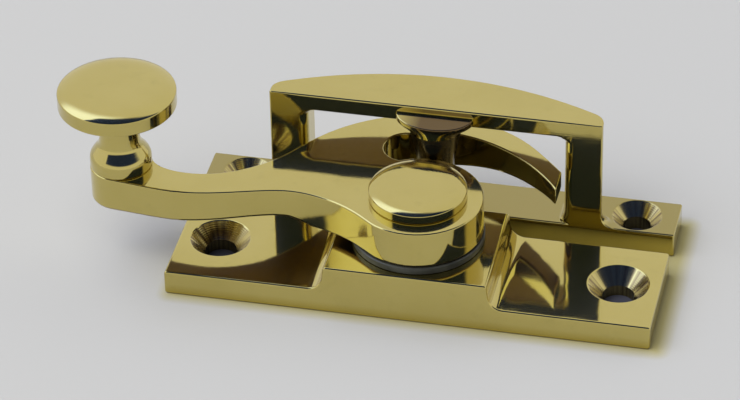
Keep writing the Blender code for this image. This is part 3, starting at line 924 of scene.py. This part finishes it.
def peg_brass():
    centre = middle(PEG_LOW, PEG_HIGH)
    return turned_metal("peg_brass", PEG_BRIGHT, PEG_DULL, PEG_ROUGHNESS, centre)


def hidden_steel(node):
    centre = middle(*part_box(node))
    return turned_metal(f"{node}_steel", STEEL_BRIGHT, STEEL_DULL, HIDDEN_ROUGHNESS, centre)


def hidden_bronze(node):
    centre = middle(*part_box(node))
    return turned_metal(f"{node}_bronze", BRONZE_BRIGHT, BRONZE_DULL, HIDDEN_ROUGHNESS, centre)


def washer_dark():
    """Dark satin washer with a slightly cloudy tone."""
    material = new_material("washer_dark")
    recipe = Recipe(material.node_tree)
    clouds = recipe.spread(recipe.noise(500, detail=6), 0.35, 0.7)
    shader = recipe.tree.nodes["Principled BSDF"]
    recipe.feed(recipe.mixed(clouds, WASHER_LIGHT, WASHER_DARK), shader.inputs["Base Color"])
    recipe.feed(recipe.spread(recipe.noise(1500), 0.3, 0.7, 0.32, 0.52), shader.inputs["Roughness"])
    recipe.feed(recipe.bump(recipe.noise(6000, detail=3), WASHER_DEPTH), shader.inputs["Normal"])
    return material


def outside_plate(recipe, low, high, grow=0.0, shift=0.0):
    """Distance from a plate, low to high in Y, grown by a margin and shifted to the right."""
    x, y, _ = recipe.axes()
    beyond = []
    for value, centre, half in ((x, shift, BASE_HIGH.x), (y, (low + high) / 2, (high - low) / 2)):
        away = recipe.calculate("ABSOLUTE", recipe.calculate("SUBTRACT", value, centre))
        outside = recipe.calculate("SUBTRACT", away, half + grow)
        beyond.append(recipe.calculate("MAXIMUM", outside, 0))
    return recipe.length(*beyond)


def floor_pale():
    """Matt and pale, with a painted olive shadow beside the plates and painted shade under them."""
    material = new_material("floor_pale")
    recipe = Recipe(material.node_tree)
    speckles = recipe.noise(900, detail=5)
    tone = recipe.mixed(speckles, FLOOR_PALE, darker(FLOOR_PALE, SPECKLED))
    beside = outside_plate(recipe, BASE_LOW.y, BAR_REAR, shift=PAINTED_SHADOW_SHIFT)
    # painted shadow: a darker olive floor beside the plates, shifted to the right
    tone = recipe.mixed(recipe.spread(beside, 0, PAINTED_SHADOW_FADE, 1, 0), tone, FLOOR_PAINTED_SHADOW)
    for low, high in ((BASE_LOW.y, BASE_HIGH.y), (KEEPER_FRONT, BAR_REAR)):
        outside = outside_plate(recipe, low, high, grow=-SHADE_MARGIN)
        tone = recipe.mixed(recipe.spread(outside, 0, SHADE_FADE, 1, 0), tone, FLOOR_SHADED)
    shader = recipe.tree.nodes["Principled BSDF"]
    recipe.feed(tone, shader.inputs["Base Color"])
    shader.inputs["Roughness"].default_value = 0.9
    shader.inputs["Specular IOR Level"].default_value = 0.0
    return material


def paint(obj, material):
    obj.data.materials.clear()
    obj.data.materials.append(material)


def finish(obj, body, material, node):
    """A piece that rides on a body in place of its CAD node."""
    paint(obj, material)
    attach(obj, body)
    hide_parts(node)


def build_pieces():
    finish(fastener_base(), "base", base_brass(), "fastener_base")
    finish(keeper_frame(), "base", keeper_brass(), "keeper_frame")
    finish(quadrant_arm(), "arm", arm_brass(), "quadrant_arm")
    finish(pivot_cap(), "arm", cap_brass(), "pivot_cap")
    finish(knob(), "arm", knob_brass(), "knob")
    finish(keeper_peg(), "base", peg_brass(), "keeper_peg")
    finish(friction_washer(), "base", washer_dark(), "friction_washer")


def paint_hidden_nodes():
    """The nodes inside the hub and under the knob keep their CAD shape."""
    for node in ("pivot_post", "spring_washer", "clamp_washer", "retaining_nut", "knob_screw"):
        paint(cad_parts[node], hidden_steel(node))
    paint(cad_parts["arm_bush"], hidden_bronze("arm_bush"))


# ---------------------------------------------------------------- studio

CAMERA_AZIMUTH = math.radians(12.97)     # of the camera's right
CAMERA_ELEVATION = math.radians(35.74)
CAMERA_ROLL = math.radians(-1.24)
CAMERA_PLACE = (0.09298, -0.43395, 0.33335)
CAMERA_LENS = 188.2
CAMERA_SENSOR = 36.0
CAMERA_RIGHT = direction(CAMERA_AZIMUTH, 0)
CAMERA_AWAY = Vector((-CAMERA_RIGHT.y, CAMERA_RIGHT.x, 0))

ROOM_PALE = (0.84, 0.84, 0.88)
ROOM_BRIGHT = (1.6, 1.85, 3.0)
ROOM_DARK = (0.02, 0.035, 0.14)

# Directions in the room, as parts to the camera's right, away from it and up, each with the range
# over which its mask fades in
LEFT_EDGE = (0.627, -0.656, 0.420)       # square to the left softbox's edge
LEFT_FADE = (-0.01, 0.05)
RIGHT_EDGE = (-0.215, -0.898, 0.384)     # square to the right softbox's edge
RIGHT_FADE = (-0.02, 0.12)
UP = (0, 0, 1)
HORIZON_FADE = (0.36, 0.50)
BRIGHT_CENTRE = (-0.52, 0.10, 0.85)
BRIGHT_FADE = (0.78, 0.92)

KEY_DIRECTION = direction(math.radians(215), math.radians(62))
KEY_DISTANCE = 3.0
KEY_SIZE = 3.2
KEY_POWER = 112.0
KEY_AIM = Vector((0, 0, 0.01))

FLOOR_HALF = 4.0
FLOOR_SQUARES = 40


def studio_floor():
    """Pale floor at the part's foot, wide enough to fill the view and its reflections."""
    bm = bmesh.new()
    bmesh.ops.create_grid(bm, x_segments=FLOOR_SQUARES, y_segments=FLOOR_SQUARES, size=FLOOR_HALF)
    bmesh.ops.translate(bm, verts=bm.verts, vec=(0, 0, cad_low.z))
    floor = object_from(bm, "studio_floor")
    floor.data.materials.append(floor_pale())


def studio_world():
    """A pale room, bright above on the left, with a dark gap between its two softboxes' edges."""
    world = bpy.data.worlds.new("studio")
    world.use_nodes = True
    bpy.context.scene.world = world
    room = Recipe(world.node_tree, coordinates="Generated")

    def rising(parts, fade):
        """0 to 1 as a direction turns towards the one with these parts."""
        right, away, up = parts
        vector = CAMERA_RIGHT * right + CAMERA_AWAY * away + Vector((0, 0, up))
        return room.spread(room.towards(vector), *fade, kind="SMOOTHSTEP")

    between = room.both(rising(LEFT_EDGE, LEFT_FADE), rising(RIGHT_EDGE, RIGHT_FADE))
    gap = room.both(between, rising(UP, HORIZON_FADE))
    light = room.mixed(rising(BRIGHT_CENTRE, BRIGHT_FADE), ROOM_PALE, ROOM_BRIGHT)
    background = room.tree.nodes["Background"]
    room.feed(room.mixed(gap, light, ROOM_DARK), background.inputs["Color"])


def studio_light():
    """A large soft panel high on the camera's left; it is left out of the reflections."""
    light = bpy.data.lights.new("key_above", "AREA")
    light.shape = "RECTANGLE"
    light.size = KEY_SIZE
    light.size_y = KEY_SIZE
    light.energy = KEY_POWER
    key = new_object("key_above", light)
    key.location = KEY_AIM + KEY_DIRECTION * KEY_DISTANCE
    key.rotation_euler = (-KEY_DIRECTION).to_track_quat("-Z", "Y").to_euler()
    key.visible_glossy = False


def studio_camera():
    """A long lens above and to the right of the part's front."""
    camera = bpy.data.cameras.new("camera")
    camera.lens = CAMERA_LENS
    camera.sensor_width = CAMERA_SENSOR
    camera.clip_start = 0.01
    obj = new_object("camera", camera)
    forward = direction(CAMERA_AZIMUTH + math.radians(90), -CAMERA_ELEVATION)
    up = CAMERA_RIGHT.cross(forward)
    side = CAMERA_RIGHT * math.cos(CAMERA_ROLL) + up * math.sin(CAMERA_ROLL)
    top = up * math.cos(CAMERA_ROLL) - CAMERA_RIGHT * math.sin(CAMERA_ROLL)
    turn = Matrix((side, top, -forward)).transposed()
    obj.matrix_world = Matrix.Translation(CAMERA_PLACE) @ turn.to_4x4()
    bpy.context.scene.camera = obj


build_pieces()
paint_hidden_nodes()
studio_floor()
studio_world()
studio_light()
studio_camera()
bpy.context.scene.view_settings.view_transform = "Standard"
